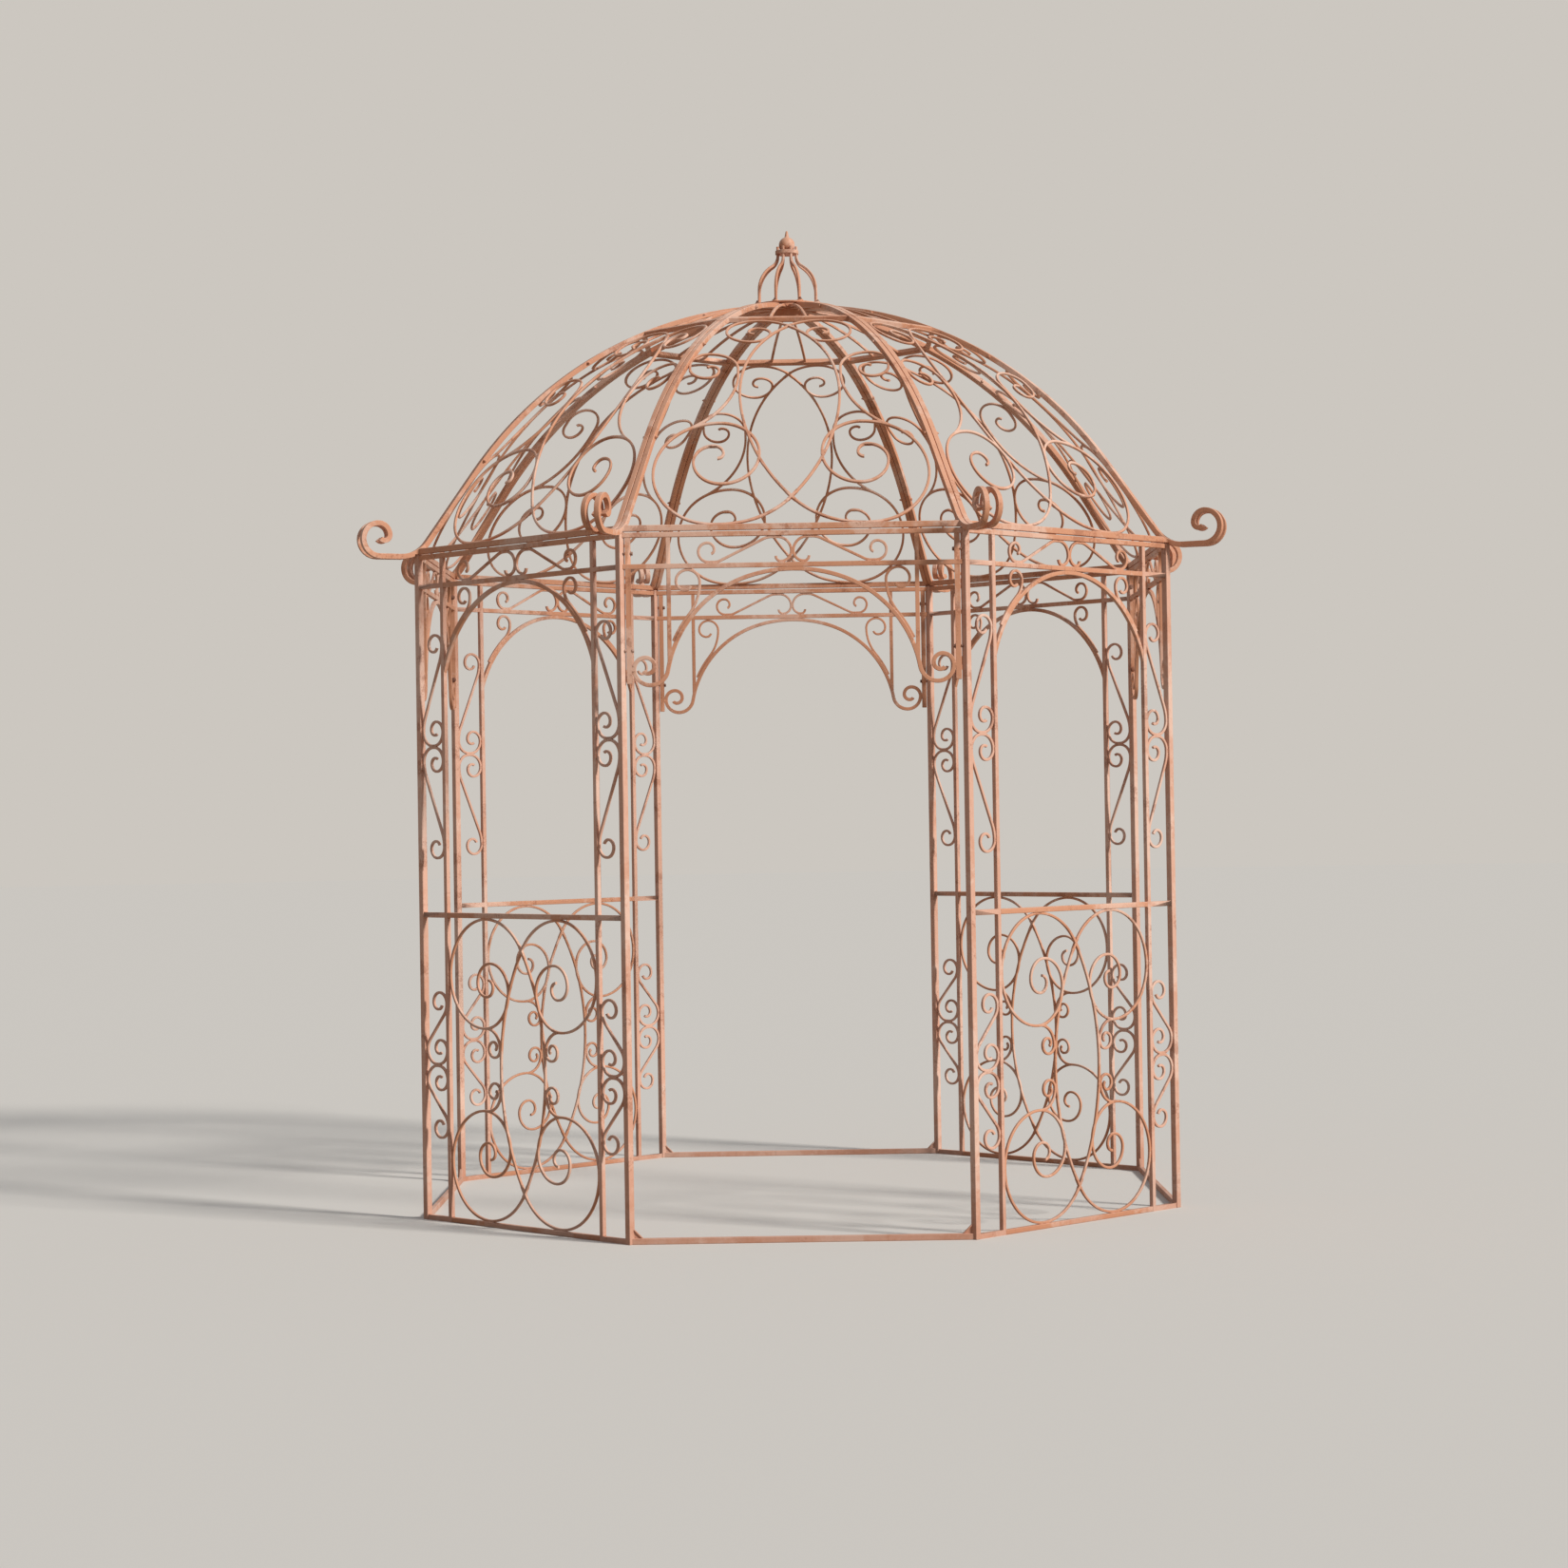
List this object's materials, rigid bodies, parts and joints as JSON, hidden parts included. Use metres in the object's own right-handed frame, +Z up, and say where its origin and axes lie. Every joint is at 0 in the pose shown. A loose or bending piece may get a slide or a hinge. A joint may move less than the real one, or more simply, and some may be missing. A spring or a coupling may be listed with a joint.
{
  "type": "garden gazebo",
  "caption": "Eight-sided iron garden gazebo with open arched sides, scrolled lattice panels between them and a scrolled dome with hooks and a crown.",
  "frame": {"origin": "on the ground under the middle of the dome", "axes": "+Z up, -Y out through the front open side, +X to the right as seen from the front"},
  "size_m": [2.6926, 2.6926, 3.146],
  "materials": {
    "iron": "matt rust-brown oxide over forged iron"
  },
  "bodies": {
    "root": {"front_right_left_strip": "iron", "front_right_right_strip": "iron", "front_right_scroll_panel": "iron", "front_right_header": "iron", "front_right_roof_frame": "iron", "back_right_left_strip": "iron", "back_right_right_strip": "iron", "back_right_scroll_panel": "iron", "back_right_header": "iron", "back_right_roof_frame": "iron", "back_left_left_strip": "iron", "back_left_right_strip": "iron", "back_left_scroll_panel": "iron", "back_left_header": "iron", "back_left_roof_frame": "iron", "front_left_left_strip": "iron", "front_left_right_strip": "iron", "front_left_scroll_panel": "iron", "front_left_header": "iron", "front_left_roof_frame": "iron", "front_header": "iron", "front_threshold": "iron", "front_roof_frame": "iron", "right_header": "iron", "right_threshold": "iron", "right_roof_frame": "iron", "back_header": "iron", "back_threshold": "iron", "back_roof_frame": "iron", "left_header": "iron", "left_threshold": "iron", "left_roof_frame": "iron", "hub": "iron", "crown": "iron", "front_roof_scrollwork": "iron", "right_roof_scrollwork": "iron", "back_roof_scrollwork": "iron", "left_roof_scrollwork": "iron", "front_right_roof_scrollwork": "iron", "back_right_roof_scrollwork": "iron", "back_left_roof_scrollwork": "iron", "front_left_roof_scrollwork": "iron"}
  },
  "joints": []
}
